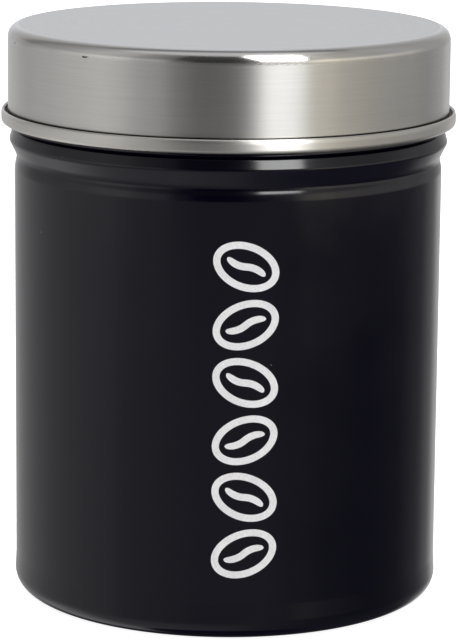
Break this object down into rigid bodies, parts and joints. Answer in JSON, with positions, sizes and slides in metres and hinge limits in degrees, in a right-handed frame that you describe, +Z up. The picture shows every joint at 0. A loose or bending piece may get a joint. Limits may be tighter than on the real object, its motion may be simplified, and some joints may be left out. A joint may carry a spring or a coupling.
{
  "type": "coffee tin",
  "caption": "Round black lacquered steel coffee tin with a stop bead below its mouth and a push-on brushed-steel lid with a rolled hem, a pressed pan and a silicone seal.",
  "frame": {"origin": "centre of the ring that the tin stands on", "axes": "+Z up along the can's axis, through the lid; -Y is the side that carries the printed column"},
  "size_m": [0.106, 0.106, 0.1341],
  "materials": {
    "can_lacquer": "satin-gloss black lacquer baked on steel, inside and out",
    "lid_steel": "brushed round the skirt, fine brushed crown",
    "pan_steel": "plain mill finish",
    "silicone": "matt milky silicone"
  },
  "bodies": {
    "can": {"can_body": "can_lacquer"},
    "seal": {"lid_seal": "silicone"},
    "lid": {"lid_shell": "lid_steel", "lid_pan": "pan_steel"}
  },
  "joints": [
    {"name": "lid_lift", "type": "slide", "parent": "can", "child": "seal", "axis": [0, 0, 1], "range_m": [0, 0.06]},
    {"name": "lid_turn", "type": "hinge", "parent": "seal", "child": "lid", "pos_m": [0, 0, 0.115], "axis": [0, 0, 1], "continuous": true}
  ]
}
